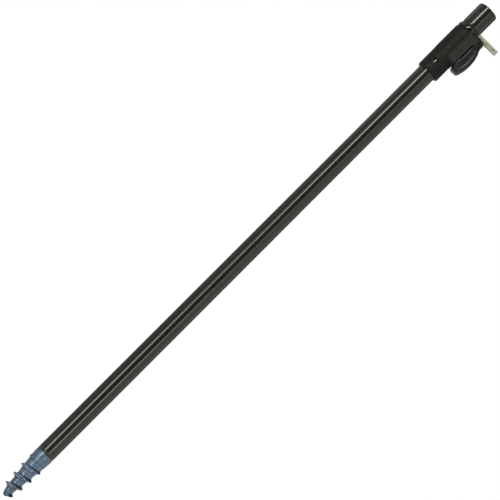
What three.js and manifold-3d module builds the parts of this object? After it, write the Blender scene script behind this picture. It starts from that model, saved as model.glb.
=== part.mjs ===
// Screw-point bank stick: a telescopic rod-rest pole, built as separate pieces.
// Millimetres, +Z up the stick. The origin is on the axis where the outer tube
// meets the screw point. +X is the side of the cam lever and of the tommy bar.
import * as THREE from 'three';
import { mergeVertices } from 'three/addons/utils/BufferGeometryUtils.js';
import Module from 'manifold-3d';

const wasm = await Module();
wasm.setup();

// ---------------------------------------------------------------- dimensions
const SEG = 64;                    // sides of the main round pieces

// outer tube: 3/4 in (19 mm) drawn tube
const OUTER_R = 9.5;
const OUTER_BORE_R = 8.5;
const OUTER_TOP = 556.0;

// screw point: a cast auger with a spigot inside the outer tube
const POINT_SHOULDER_Z = -0.06;
const POINT_SPIGOT_R = 8.46;
const POINT_SPIGOT_TOP = 32.0;
const POINT_CORE = [               // radius, height, from the shoulder down
  [9.5, -0.06], [9.5, -2.6], [9.45, -4.6], [9.1, -8.4], [8.5, -13.2], [7.85, -18.4],
  [7.1, -24.0], [6.35, -29.8], [5.7, -35.4], [5.1, -41.0], [4.45, -46.6], [3.75, -50.4],
  [2.75, -53.0], [1.45, -54.25],
];
const POINT_TIP_Z = -54.5;
const THREAD_PITCH = 11.15;
const THREAD_Z0 = -16.0;           // height of the thread where it crosses +X
const THREAD_FROM = -3.3 * 2 * Math.PI;
const THREAD_TO = 1.4 * Math.PI;
const THREAD_CREST = [             // height, crest radius
  [-54.0, 4.4], [-52.0, 6.2], [-49.4, 7.3], [-44.0, 8.0], [-38.4, 8.7], [-32.8, 9.15],
  [-27.1, 9.65], [-21.5, 9.85], [-16.0, 9.92], [-10.4, 9.88], [-9.0, 9.6],
];
const THREAD_ROOT_W = 3.3;
const THREAD_CREST_W = 1.5;
const THREAD_SAG = 0.6;             // the thread hangs lower on its +X side

// inner tube: 5/8 in (16 mm) drawn tube, and what is fixed to it
const INNER_R = 7.95;
const INNER_BORE_R = 6.95;
const INNER_BOTTOM = 105.9;
const GUIDE_R = 8.42;
const GUIDE_BOTTOM = 80.0;
const GUIDE_STEM_TOP = 126.0;

// head
const HEAD_R = 10.9;
const HEAD_BOTTOM = 585.05;
const HEAD_TOP = 610.45;
const HEAD_EDGE = 1.6;             // size of the rounded top edge
const SPIGOT_R = 6.91;
const SPIGOT_BOTTOM = 562.0;
const SOCKET_R = 4.35;             // root radius of the 3/8 in rod-rest thread
const SOCKET_DEPTH = 15.0;

// tommy bar
const BAR_R = 3.0;
const BAR_Z = 584.8;
const BAR_X0 = -9.4;
const BAR_X1 = 35.2;
const BAR_HOLE_R = 3.05;
const RING_GROOVE_R = 4.3;
const RING_GROOVE_HALF = 0.85;
const RING_WIRE_R = 0.6;

// collar
const COLLAR_R = 11.9;
const COLLAR_UPPER_R = 12.2;        // round part beside the housing
const COLLAR_BOTTOM = 522.7;
const COLLAR_TOP = 578.95;
const COLLAR_TUBE_BORE_R = 9.53;
const COLLAR_GUIDE_BORE_R = 8.03;
const SPINE_X = 12.4;              // the thicker right side below the housing
const SPINE_HALF = 7.2;
const HOUSING_X = 12.8;
const HOUSING_HALF = 11.45;
const HOUSING_BOTTOM = 546.0;     // at its front and back edges
const HOUSING_KEEL = 542.9;       // its underside slopes down to this height
const HOUSING_TOP = 581.3;
const EAR_X = 21.0;
const EAR_ROUND = 4.95;            // the ear's lower end is round the pin
const EAR_INNER = 8.8;
const HOLE_X = -2.05;              // round hole in the collar's front
const HOLE_Z = 534.8;
const HOLE_R = 2.45;

// cap and wiper ring at the collar's mouth
const CAP_BOTTOM = 579.0;
const CAP_TOP = 584.75;
const CAP_BORE_R = 8.04;
const SLOT_HALF = 3.3;             // seats of the tommy bar
const WIPER_R = 9.7;
const WIPER_BORE_R = 8.0;

// cam lever
const PIVOT_X = 16.6;
const PIVOT_Z = 575.3;
const PIVOT_R = 1.5;
const LEVER_HOLE_R = 1.56;
const LEVER_HALF = 8.5;            // between the ears
const HANDLE_HALF = 10.9;          // below the ears
const HANDLE_CLEAR_R = 5.3;
const CAM_R_CLOSED = 5.4;
const CAM_R_OPEN = 4.9;
const CAM_SWEEP = 80;              // degrees of lever travel

// stiffening rib down the lever's inner side, and the groove that it rests in
const RIB_X = 12.62;
const RIB_BOTTOM = 544.6;
const RIB_HALF = 3.0;
const RIB_GROOVE_X = 12.25;
const RIB_GROOVE_HALF = 3.4;

// pressure pad
const PAD_X0 = 7.0;
const PAD_X1 = 11.1;
const PAD_HALF = 4.8;
const PAD_BOTTOM = 570.6;
const PAD_TOP = 577.4;

// ------------------------------------------------------------------- helpers
function toSolid(geometry) {
  const g = geometry.clone();
  g.deleteAttribute('normal');
  g.deleteAttribute('uv');
  const m = mergeVertices(g, 1e-4);
  const index = m.index.array;
  const kept = [];
  for (let i = 0; i < index.length; i += 3) {
    const a = index[i], b = index[i + 1], c = index[i + 2];
    if (a !== b && b !== c && a !== c) kept.push(a, b, c);
  }
  const p = m.attributes.position.array;
  let volume = 0;
  for (let i = 0; i < kept.length; i += 3) {
    const a = kept[i] * 3, b = kept[i + 1] * 3, c = kept[i + 2] * 3;
    volume += p[a] * (p[b + 1] * p[c + 2] - p[b + 2] * p[c + 1])
      + p[a + 1] * (p[b + 2] * p[c] - p[b] * p[c + 2])
      + p[a + 2] * (p[b] * p[c + 1] - p[b + 1] * p[c]);
  }
  if (volume < 0) {
    for (let i = 0; i < kept.length; i += 3) {
      const t = kept[i + 1]; kept[i + 1] = kept[i + 2]; kept[i + 2] = t;
    }
  }
  return new wasm.Manifold(new wasm.Mesh({
    numProp: 3,
    vertProperties: new Float32Array(p),
    triVerts: new Uint32Array(kept),
  }));
}

function toGeometry(solid) {
  const mesh = solid.getMesh();
  const g = new THREE.BufferGeometry();
  const n = mesh.vertProperties.length / mesh.numProp;
  const p = new Float32Array(n * 3);
  for (let i = 0; i < n; i++) {
    for (let k = 0; k < 3; k++) p[i * 3 + k] = mesh.vertProperties[i * mesh.numProp + k];
  }
  g.setAttribute('position', new THREE.BufferAttribute(p, 3));
  g.setIndex(new THREE.BufferAttribute(new Uint32Array(mesh.triVerts), 1));
  g.computeVertexNormals();
  return g;
}

// A body of revolution about Z from [radius, height] points. The profile is
// closed on itself, or starts and ends on the axis.
function turned(points, segments = SEG) {
  const profile = points.map(([r, z]) => new THREE.Vector2(r, z));
  const closedOnAxis = points[0][0] === 0 && points[points.length - 1][0] === 0;
  if (!closedOnAxis) profile.push(profile[0].clone());
  const g = new THREE.LatheGeometry(profile, segments);
  g.rotateX(Math.PI / 2);
  return toSolid(g);
}

function rod(radius, z0, z1, segments = SEG) {
  return turned([[0, z0], [radius, z0], [radius, z1], [0, z1]], segments);
}

function box(x0, x1, y0, y1, z0, z1) {
  const g = new THREE.BoxGeometry(x1 - x0, y1 - y0, z1 - z0);
  g.translate((x0 + x1) / 2, (y0 + y1) / 2, (z0 + z1) / 2);
  return toSolid(g);
}

// An outline of [x, z] points pushed along Y, with an optional bevel.
function plate(points, y0, y1, bevel = 0) {
  const shape = new THREE.Shape(points.map(([x, z]) => new THREE.Vector2(x, z)));
  const g = new THREE.ExtrudeGeometry(shape, {
    depth: y1 - y0 - 2 * bevel,
    bevelEnabled: bevel > 0,
    bevelThickness: bevel,
    bevelSize: bevel,
    bevelOffset: -bevel,
    bevelSegments: 1,
    curveSegments: 8,
  });
  g.rotateX(Math.PI / 2);
  g.translate(0, y1 - bevel, 0);
  return toSolid(g);
}

// An outline of [x, y] points pushed along Z.
function slab(points, z0, z1) {
  const shape = new THREE.Shape(points.map(([x, y]) => new THREE.Vector2(x, y)));
  const g = new THREE.ExtrudeGeometry(shape, { depth: z1 - z0, bevelEnabled: false });
  g.translate(0, 0, z0);
  return toSolid(g);
}

function rodAlongX(radius, x0, x1, y, z, segments = 48) {
  const g = new THREE.CylinderGeometry(radius, radius, x1 - x0, segments);
  g.rotateZ(Math.PI / 2);
  g.translate((x0 + x1) / 2, y, z);
  return toSolid(g);
}

function rodAlongY(radius, y0, y1, x, z, segments = 32) {
  const g = new THREE.CylinderGeometry(radius, radius, y1 - y0, segments);
  g.translate(x, (y0 + y1) / 2, z);
  return toSolid(g);
}

function interpolate(table, v) {
  if (v <= table[0][0]) return table[0][1];
  for (let i = 1; i < table.length; i++) {
    if (v <= table[i][0]) {
      const [a, fa] = table[i - 1], [b, fb] = table[i];
      return fa + (fb - fa) * (v - a) / (b - a);
    }
  }
  return table[table.length - 1][1];
}

const group = new THREE.Group();
function add(name, solid, color, roughness, metalness) {
  const mesh = new THREE.Mesh(toGeometry(solid),
    new THREE.MeshStandardMaterial({ color, roughness, metalness }));
  mesh.name = name;
  group.add(mesh);
}

// ---------------------------------------------------------------- outer tube
const outerTube = turned([
  [OUTER_BORE_R, 0], [OUTER_R, 0], [OUTER_R, OUTER_TOP], [OUTER_BORE_R, OUTER_TOP],
]);
add('outer_tube', outerTube, 0x35322e, 0.32, 0.7);

// --------------------------------------------------------------- screw point
// The fin is a helical ribbon of trapezoid section, sharp at its crest, that
// fades into the core at its upper end.
function helicalFin() {
  const steps = 112;
  const verts = [];
  const tris = [];
  const coreTable = POINT_CORE.map(([r, z]) => [z, r]).reverse();
  for (let i = 0; i <= steps; i++) {
    const a = THREAD_FROM + (THREAD_TO - THREAD_FROM) * i / steps;
    const z = THREAD_Z0 + THREAD_PITCH * a / (2 * Math.PI);
    const core = interpolate(coreTable, z);
    const fadeTop = Math.min(1, (THREAD_TO - a) / (0.5 * Math.PI));
    const fadeTip = Math.min(1, (a - THREAD_FROM) / (0.35 * Math.PI));
    const fade = Math.max(0.001, Math.min(fadeTop, fadeTip));
    const crest = core - 0.25 + (interpolate(THREAD_CREST, z) - core + 0.25) * fade;
    const root = core * 0.82 - 0.2;
    const slope = (core - root) / Math.max(0.2, crest - root);
    const wRoot = THREAD_ROOT_W * (0.75 + 0.25 * slope);
    const lift = 0.25;             // the crest leans a little up the stick
    const sag = THREAD_SAG * (1 + Math.cos(a));
    for (const [r, dz] of [[root, -wRoot / 2], [crest, lift - THREAD_CREST_W / 2],
      [crest, lift + THREAD_CREST_W / 2], [root, wRoot / 2]]) {
      verts.push(r * Math.cos(a), r * Math.sin(a), Math.max(z + dz - sag, POINT_TIP_Z + 0.9));
    }
  }
  for (let i = 0; i < steps; i++) {
    const p = i * 4, q = p + 4;
    for (let k = 0; k < 4; k++) {
      const k1 = (k + 1) % 4;
      tris.push(p + k, p + k1, q + k1, p + k, q + k1, q + k);
    }
  }
  tris.push(0, 2, 1, 0, 3, 2);
  const e = steps * 4;
  tris.push(e, e + 1, e + 2, e, e + 2, e + 3);
  const g = new THREE.BufferGeometry();
  g.setAttribute('position', new THREE.BufferAttribute(new Float32Array(verts), 3));
  g.setIndex(tris);
  return toSolid(g);
}

const pointCore = turned([
  [0, POINT_SPIGOT_TOP], [POINT_SPIGOT_R - 1.0, POINT_SPIGOT_TOP],
  [POINT_SPIGOT_R, POINT_SPIGOT_TOP - 1.0], [POINT_SPIGOT_R, POINT_SHOULDER_Z],
  ...POINT_CORE, [0, POINT_TIP_Z],
], 40);
add('screw_point', pointCore.add(helicalFin()), 0x76829a, 0.45, 0.5);

// ---------------------------------------------------------------- inner tube
const barHole = rodAlongX(BAR_HOLE_R, -14, 14, 0, BAR_Z);
const innerTube = turned([
  [INNER_BORE_R, INNER_BOTTOM], [INNER_R, INNER_BOTTOM],
  [INNER_R, HEAD_BOTTOM - 0.05], [INNER_BORE_R, HEAD_BOTTOM - 0.05],
]).subtract(barHole);
add('inner_tube', innerTube, 0x3b3834, 0.3, 0.7);

// Guide plug in the inner tube's lower end. Its upper shoulder is the stop
// that meets the collar when the stick is fully extended.
const guide = turned([
  [0, GUIDE_BOTTOM], [GUIDE_R - 0.8, GUIDE_BOTTOM], [GUIDE_R, GUIDE_BOTTOM + 0.8],
  [GUIDE_R, INNER_BOTTOM - 0.05], [INNER_BORE_R - 0.03, INNER_BOTTOM - 0.05],
  [INNER_BORE_R - 0.03, GUIDE_STEM_TOP], [0, GUIDE_STEM_TOP],
], 40).subtract(rod(4.2, GUIDE_BOTTOM - 1, GUIDE_STEM_TOP - 5, 32));
add('inner_tube_guide', guide, 0x1d1d1d, 0.6, 0.0);

// ---------------------------------------------------------------------- head
const edge = [];
for (let i = 0; i <= 4; i++) {
  const a = (i / 4) * Math.PI / 2;
  edge.push([HEAD_R - HEAD_EDGE + HEAD_EDGE * Math.cos(a), HEAD_TOP - HEAD_EDGE + HEAD_EDGE * Math.sin(a)]);
}
let head = turned([
  [0, SPIGOT_BOTTOM], [SPIGOT_R - 0.8, SPIGOT_BOTTOM], [SPIGOT_R, SPIGOT_BOTTOM + 0.8],
  [SPIGOT_R, HEAD_BOTTOM], [HEAD_R - 0.8, HEAD_BOTTOM], [HEAD_R - 0.25, HEAD_BOTTOM + 0.45],
  [HEAD_R, HEAD_BOTTOM + 1.1],
  ...edge,
  [SOCKET_R + 0.75, HEAD_TOP], [SOCKET_R, HEAD_TOP - 0.75],
  [SOCKET_R, HEAD_TOP - SOCKET_DEPTH], [0, HEAD_TOP - SOCKET_DEPTH - 1.8],
]);
head = head.subtract(barHole)
  .subtract(rodAlongX(RING_GROOVE_R, -RING_GROOVE_HALF, RING_GROOVE_HALF, 0, BAR_Z, 32));
add('head', head, 0x383531, 0.28, 0.75);

// Rubber ring in a groove of the head's cross hole: it grips the tommy bar.
const ringGeometry = new THREE.TorusGeometry(BAR_R + 0.03 + RING_WIRE_R, RING_WIRE_R, 8, 24);
ringGeometry.rotateY(Math.PI / 2);
ringGeometry.translate(0, 0, BAR_Z);
add('bar_friction_ring', toSolid(ringGeometry), 0x141414, 0.8, 0.0);

// ----------------------------------------------------------------- tommy bar
const barBlank = turned([
  [0, BAR_X0], [BAR_R - 0.35, BAR_X0], [BAR_R, BAR_X0 + 0.35],
  [BAR_R, BAR_X1 - 0.35], [BAR_R - 0.35, BAR_X1], [0, BAR_X1],
], 40);
const barMesh = new THREE.Mesh(toGeometry(barBlank),
  new THREE.MeshStandardMaterial({ color: 0xb5b1a6, roughness: 0.35, metalness: 0.95 }));
barMesh.name = 'tommy_bar';
barMesh.rotation.y = Math.PI / 2;
barMesh.position.z = BAR_Z;
group.add(barMesh);

// -------------------------------------------------------------------- collar
let collar = turned([
  [0, COLLAR_BOTTOM], [COLLAR_R - 1.0, COLLAR_BOTTOM], [COLLAR_R, COLLAR_BOTTOM + 1.5],
  [COLLAR_R, HOUSING_BOTTOM - 2], [COLLAR_UPPER_R, HOUSING_BOTTOM + 3], [COLLAR_UPPER_R, COLLAR_TOP - 3],
  [COLLAR_R, COLLAR_TOP - 1.1], [COLLAR_R - 0.9, COLLAR_TOP - 0.8],
  [COLLAR_R - 0.9, COLLAR_TOP], [0, COLLAR_TOP],
]);
// thicker right side below the housing
collar = collar.add(slab([
  [0, -SPINE_HALF - 1.6], [SPINE_X - 3.2, -SPINE_HALF], [SPINE_X - 0.9, -SPINE_HALF + 2.2],
  [SPINE_X, -SPINE_HALF + 4.4], [SPINE_X, SPINE_HALF - 4.4], [SPINE_X - 0.9, SPINE_HALF - 2.2],
  [SPINE_X - 3.2, SPINE_HALF], [0, SPINE_HALF + 1.6],
], COLLAR_BOTTOM + 0.9, HOUSING_BOTTOM + 2));
// housing: its front and back faces are flats, tangent to the round collar
const housingOutline = [
  [0, -HOUSING_HALF], [HOUSING_X - 0.9, -HOUSING_HALF], [HOUSING_X, -HOUSING_HALF + 0.9],
  [HOUSING_X, HOUSING_HALF - 0.9], [HOUSING_X - 0.9, HOUSING_HALF], [0, HOUSING_HALF],
];
collar = collar.add(slab(housingOutline, HOUSING_BOTTOM, HOUSING_TOP));
// the housing's underside slopes down from both faces to a flat keel
const keelShape = new THREE.Shape([
  [-HOUSING_HALF, HOUSING_BOTTOM + 0.1], [-HOUSING_HALF, HOUSING_BOTTOM], [-SPINE_HALF, HOUSING_KEEL],
  [SPINE_HALF, HOUSING_KEEL], [HOUSING_HALF, HOUSING_BOTTOM], [HOUSING_HALF, HOUSING_BOTTOM + 0.1],
].map(([y, z]) => new THREE.Vector2(y, z)));
const keelGeometry = new THREE.ExtrudeGeometry(keelShape, { depth: HOUSING_X + 2, bevelEnabled: false });
keelGeometry.applyMatrix4(new THREE.Matrix4().makeBasis(
  new THREE.Vector3(0, 1, 0), new THREE.Vector3(0, 0, 1), new THREE.Vector3(1, 0, 0)));
collar = collar.add(toSolid(keelGeometry).intersect(slab(housingOutline, HOUSING_KEEL - 1, HOUSING_BOTTOM + 1)));
// the two ears that carry the lever's pin
const earOutline = [[HOUSING_X - 2.0, 570.9]];
for (let d = 228; d <= 332; d += 8) {
  const a = d * Math.PI / 180;
  earOutline.push([PIVOT_X + EAR_ROUND * Math.cos(a), PIVOT_Z + EAR_ROUND * Math.sin(a)]);
}
for (const p of [[EAR_X, 573.8], [EAR_X, 577.3], [EAR_X - 0.5, 578.6], [EAR_X - 1.7, 579.5],
  [HOUSING_X + 1.0, HOUSING_TOP - 0.15], [HOUSING_X - 2.0, HOUSING_TOP]]) earOutline.push(p);
collar = collar.add(plate(earOutline, -HOUSING_HALF, -EAR_INNER));
collar = collar.add(plate(earOutline, EAR_INNER, HOUSING_HALF));
// the housing's top stays clear of the cap
collar = collar.subtract(rod(COLLAR_R + 1.0, COLLAR_TOP, HOUSING_TOP + 1));
// bores
collar = collar.subtract(rod(COLLAR_TUBE_BORE_R, COLLAR_BOTTOM - 1, OUTER_TOP + 0.05));
collar = collar.subtract(rod(COLLAR_GUIDE_BORE_R, COLLAR_BOTTOM - 1, HOUSING_TOP + 1));
// lever slot, open at the top and the right
collar = collar.subtract(box(10.95, EAR_X + 1, -EAR_INNER, EAR_INNER, 569.6, HOUSING_TOP + 1));
// window of the pressure pad
collar = collar.subtract(box(6.0, 12.0, -PAD_HALF - 0.12, PAD_HALF + 0.12, PAD_BOTTOM - 0.12, PAD_TOP + 0.12));
// groove that the lever's rib rests in
collar = collar.subtract(box(RIB_GROOVE_X, HOUSING_X + 1, -RIB_GROOVE_HALF, RIB_GROOVE_HALF, HOUSING_KEEL - 1, 570.5));
// pivot pin holes in the ears
collar = collar.subtract(rodAlongY(PIVOT_R + 0.02, -HOUSING_HALF - 1, HOUSING_HALF + 1, PIVOT_X, PIVOT_Z));
// round hole in the front, with a chamfered rim
collar = collar.subtract(rodAlongY(HOLE_R, -14, -9.0, HOLE_X, HOLE_Z, 32));
const rim = new THREE.CylinderGeometry(HOLE_R, HOLE_R + 1.6, 1.6, 32);
rim.translate(HOLE_X, -COLLAR_R + 0.05, HOLE_Z);
collar = collar.subtract(toSolid(rim));
add('collar_body', collar, 0x262524, 0.5, 0.0);

// cap: closes the collar's mouth and seats the tommy bar in two slots
let cap = turned([
  [CAP_BORE_R, CAP_BOTTOM], [COLLAR_R - 0.9, CAP_BOTTOM], [COLLAR_R - 0.9, CAP_BOTTOM + 0.1], [COLLAR_R - 0.1, CAP_BOTTOM + 0.55],
  [COLLAR_R - 0.05, CAP_TOP - 3.1], [COLLAR_R - 0.3, CAP_TOP - 2.0], [COLLAR_R - 0.75, CAP_TOP - 1.0],
  [COLLAR_R - 1.35, CAP_TOP - 0.3], [COLLAR_R - 2.1, CAP_TOP], [CAP_BORE_R, CAP_TOP],
]);
cap = cap.subtract(rod(WIPER_R + 0.05, CAP_BOTTOM - 1, CAP_BOTTOM + 2.25));
cap = cap.subtract(rodAlongX(SLOT_HALF, -14, 14, 0, BAR_Z, 40));
add('collar_cap', cap, 0x232221, 0.25, 0.0);

add('wiper_ring', turned([
  [WIPER_BORE_R, CAP_BOTTOM + 0.7], [WIPER_BORE_R + 0.6, CAP_BOTTOM + 0.15], [WIPER_R, CAP_BOTTOM + 0.15],
  [WIPER_R, CAP_BOTTOM + 2.15], [WIPER_BORE_R + 0.6, CAP_BOTTOM + 2.15], [WIPER_BORE_R, CAP_BOTTOM + 1.6],
], 48), 0x161616, 0.8, 0.0);

// --------------------------------------------------- pivot pin, lever and pad
add('lever_pivot_pin', rodAlongY(PIVOT_R, -10.9, 10.9, PIVOT_X, PIVOT_Z), 0x8c8c8c, 0.4, 0.9);

// The cam is a spiral: as the lever lifts, the side facing the pad retreats by
// the same amount for every degree.
const leverOutline = [];
function cam(degrees, radius) {
  const a = degrees * Math.PI / 180;
  leverOutline.push([PIVOT_X + radius * Math.cos(a), PIVOT_Z + radius * Math.sin(a)]);
}
for (let d = 240; d > 180; d -= 12) cam(d, CAM_R_CLOSED - 0.05);
for (let d = 180; d >= 180 - CAM_SWEEP; d -= 8) {
  cam(d, CAM_R_CLOSED - (CAM_R_CLOSED - CAM_R_OPEN) * (180 - d) / CAM_SWEEP);
}
cam(84, 4.75); cam(66, 4.6); cam(48, 4.45); cam(30, 4.3); cam(12, 4.2); cam(-6, 4.25);
const leverOuter = [
  [21.7, 571.8], [23.1, 569.0], [23.95, 566.6], [24.55, 564.2], [25.05, 560.9], [25.35, 558.2], [25.4, 555.5],
  [25.15, 552.0], [24.45, 548.4], [23.6, 545.2], [22.8, 543.0], [21.7, 541.4], [20.2, 540.6], [18.6, 540.4],
  [17.1, 540.7], [15.9, 541.4], [14.9, 542.4], [14.0, 543.6], [13.35, 544.9], [13.1, 546.1],
  [13.1, 552.7], [13.9, 553.7], [13.9, 566.0],
];
for (const p of leverOuter) leverOutline.push(p);
let lever = plate(leverOutline, -LEVER_HALF, LEVER_HALF, 0);
// below the ears the handle is wider, and ends in an arc round the ears
const handleOutline = [[13.9, 571.6], ...leverOuter];
const wings = plate(handleOutline, -HANDLE_HALF, HANDLE_HALF)
  .subtract(rodAlongY(HANDLE_CLEAR_R, -HANDLE_HALF - 1, HANDLE_HALF + 1, PIVOT_X, PIVOT_Z, 64));
lever = lever.add(wings);
lever = lever.add(plate([
  [RIB_X, RIB_BOTTOM], [16.0, RIB_BOTTOM], [16.0, 569.6], [13.0, 569.6], [RIB_X, 569.2],
], -RIB_HALF, RIB_HALF));
lever = lever.subtract(rodAlongY(LEVER_HOLE_R, -LEVER_HALF - 1, LEVER_HALF + 1, PIVOT_X, PIVOT_Z));
add('cam_lever', lever, 0x2c2c2d, 0.42, 0.0);

const pad = box(PAD_X0, PAD_X1, -PAD_HALF, PAD_HALF, PAD_BOTTOM, PAD_TOP)
  .subtract(rod(INNER_R + 0.06, PAD_BOTTOM - 1, PAD_TOP + 1));
add('pressure_pad', pad, 0x4a463f, 0.7, 0.0);

export default group;
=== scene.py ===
import math

import bmesh
import bpy
import numpy as np
from mathutils import Matrix, Vector

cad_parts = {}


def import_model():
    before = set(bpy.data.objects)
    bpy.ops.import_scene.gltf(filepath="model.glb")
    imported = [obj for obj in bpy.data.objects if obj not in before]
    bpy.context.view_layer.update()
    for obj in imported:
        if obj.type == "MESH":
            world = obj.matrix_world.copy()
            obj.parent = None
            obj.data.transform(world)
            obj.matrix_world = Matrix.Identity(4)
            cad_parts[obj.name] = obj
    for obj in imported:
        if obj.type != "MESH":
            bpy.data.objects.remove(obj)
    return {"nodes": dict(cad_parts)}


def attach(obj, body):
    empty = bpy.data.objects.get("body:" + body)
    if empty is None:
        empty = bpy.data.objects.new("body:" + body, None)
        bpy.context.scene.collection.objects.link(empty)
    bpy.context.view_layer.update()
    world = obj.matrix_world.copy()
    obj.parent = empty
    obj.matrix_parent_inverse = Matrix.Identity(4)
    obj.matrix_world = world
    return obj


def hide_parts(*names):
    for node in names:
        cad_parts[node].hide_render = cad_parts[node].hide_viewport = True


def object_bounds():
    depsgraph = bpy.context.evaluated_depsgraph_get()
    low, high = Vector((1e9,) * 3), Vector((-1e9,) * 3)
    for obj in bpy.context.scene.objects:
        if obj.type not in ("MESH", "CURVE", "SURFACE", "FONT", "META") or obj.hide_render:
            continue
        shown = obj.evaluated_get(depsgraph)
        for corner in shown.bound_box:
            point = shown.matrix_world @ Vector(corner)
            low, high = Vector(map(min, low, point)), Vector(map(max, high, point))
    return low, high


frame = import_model()
CAD_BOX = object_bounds()
MM = 0.001

# ------------------------------------------------------------------- camera
# The stick is seen square-on at its lower end and from about 16 degrees below
# at its head, and it runs from the lower left to the upper right.
CAM_DISTANCE = 2.284
CAM_Z = -0.0450
CAM_UP = math.radians(8.0)
CAM_ROLL = math.radians(45.0)
CAM_X = 0.00042

fwd = Vector((0.0, math.cos(CAM_UP), math.sin(CAM_UP)))
along = Vector((0.0, -math.sin(CAM_UP), math.cos(CAM_UP)))
side = Vector((1.0, 0.0, 0.0))
right = math.sin(CAM_ROLL) * along + math.cos(CAM_ROLL) * side
up = math.cos(CAM_ROLL) * along - math.sin(CAM_ROLL) * side
cam_data = bpy.data.cameras.new("camera")
cam = bpy.data.objects.new("camera", cam_data)
bpy.context.scene.collection.objects.link(cam)
cam_data.sensor_width = 36.0
cam_data.lens = 2400.0 / 500.0 * 36.0
cam_data.clip_start = 0.1
cam_data.clip_end = 50.0
cam.matrix_world = Matrix((
    (right.x, up.x, -fwd.x, CAM_X),
    (right.y, up.y, -fwd.y, -CAM_DISTANCE),
    (right.z, up.z, -fwd.z, CAM_Z),
    (0.0, 0.0, 0.0, 1.0),
))
bpy.context.scene.camera = cam


# ------------------------------------------------------------ mesh helpers
def new_object(name, mesh):
    obj = bpy.data.objects.new(name, mesh)
    bpy.context.scene.collection.objects.link(obj)
    return obj


def mesh_object(name, verts, faces, sharp=math.radians(32)):
    mesh = bpy.data.meshes.new(name)
    mesh.from_pydata([tuple(v) for v in verts], [], faces)
    mesh.validate()
    bm = bmesh.new()
    bm.from_mesh(mesh)
    bmesh.ops.remove_doubles(bm, verts=bm.verts, dist=1e-7)
    bmesh.ops.recalc_face_normals(bm, faces=bm.faces)
    bm.to_mesh(mesh)
    bm.free()
    finish_shading(mesh, sharp)
    return new_object(name, mesh)


def finish_shading(mesh, sharp=math.radians(32)):
    mesh.shade_smooth()
    if sharp is not None:
        mesh.set_sharp_from_angle(angle=sharp)


def turned(name, profile, segments=128, closed=True, sharp=math.radians(32)):
    """A body of revolution about Z from (radius, height) points in mm. The
    profile closes on itself, or starts and ends on the axis."""
    verts, faces, rings = [], [], []
    for r, z in profile:
        if r < 1e-6:
            rings.append([len(verts)])
            verts.append((0.0, 0.0, z * MM))
        else:
            ring = []
            for i in range(segments):
                a = 2 * math.pi * i / segments
                ring.append(len(verts))
                verts.append((r * MM * math.cos(a), r * MM * math.sin(a), z * MM))
            rings.append(ring)
    pairs = list(zip(rings[:-1], rings[1:]))
    if closed:
        pairs.append((rings[-1], rings[0]))
    for lo, hi in pairs:
        for i in range(segments):
            j = (i + 1) % segments
            if len(lo) == 1 and len(hi) == 1:
                continue
            if len(lo) == 1:
                faces.append((lo[0], hi[i], hi[j]))
            elif len(hi) == 1:
                faces.append((lo[i], lo[j], hi[0]))
            else:
                faces.append((lo[i], lo[j], hi[j], hi[i]))
    return mesh_object(name, verts, faces, sharp)


def arc(cr, cz, radius, a0, a1, steps):
    """Points on a circle in the (radius, height) plane, angles in degrees."""
    out = []
    for i in range(steps + 1):
        a = math.radians(a0 + (a1 - a0) * i / steps)
        out.append((cr + radius * math.cos(a), cz + radius * math.sin(a)))
    return out


def stations(r, z0, z1, step):
    """Evenly spaced points up a straight wall, so that long faces stay neat."""
    n = max(1, int(round(abs(z1 - z0) / step)))
    return [(r, z0 + (z1 - z0) * i / n) for i in range(n + 1)]


def apply_modifiers(obj):
    dg = bpy.context.evaluated_depsgraph_get()
    mesh = bpy.data.meshes.new_from_object(obj.evaluated_get(dg))
    obj.modifiers.clear()
    old = obj.data
    obj.data = mesh
    bpy.data.meshes.remove(old)
    return obj


def cad_copy(node, name):
    mesh = frame["nodes"][node].data.copy()
    mesh.name = name
    mesh.materials.clear()
    obj = new_object(name, mesh)
    bm = bmesh.new()
    bm.from_mesh(mesh)
    bmesh.ops.remove_doubles(bm, verts=bm.verts, dist=1e-6)
    bmesh.ops.recalc_face_normals(bm, faces=bm.faces)
    bm.to_mesh(mesh)
    bm.free()
    return obj


def remeshed(obj, voxel, smooth=4, factor=0.5):
    m = obj.modifiers.new("remesh", "REMESH")
    m.mode = "VOXEL"
    m.voxel_size = voxel * MM
    m.adaptivity = 0.0
    if smooth:
        s = obj.modifiers.new("smooth", "SMOOTH")
        s.factor = factor
        s.iterations = smooth
    apply_modifiers(obj)
    finish_shading(obj.data, None)
    return obj


def boolean(obj, cutter, operation="DIFFERENCE"):
    m = obj.modifiers.new("cut", "BOOLEAN")
    m.operation = operation
    m.solver = "EXACT"
    m.object = cutter
    apply_modifiers(obj)
    bpy.data.objects.remove(cutter)
    return obj


def rod_x(name, radius, x0, x1, z, y=0.0, segments=96, chamfer=0.0):
    verts, faces = [], []
    stops = [(x0, radius - chamfer), (x0 + chamfer, radius), (x1 - chamfer, radius), (x1, radius - chamfer)]
    if chamfer <= 0:
        stops = [(x0, radius), (x1, radius)]
    for x, r in stops:
        for i in range(segments):
            a = 2 * math.pi * i / segments
            verts.append((x * MM, (y + r * math.cos(a)) * MM, (z + r * math.sin(a)) * MM))
    for k in range(len(stops) - 1):
        for i in range(segments):
            j = (i + 1) % segments
            faces.append((k * segments + i, k * segments + j, (k + 1) * segments + j, (k + 1) * segments + i))
    faces.append(tuple(reversed(range(segments))))
    faces.append(tuple(range((len(stops) - 1) * segments, len(stops) * segments)))
    return mesh_object(name, verts, faces)


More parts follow.
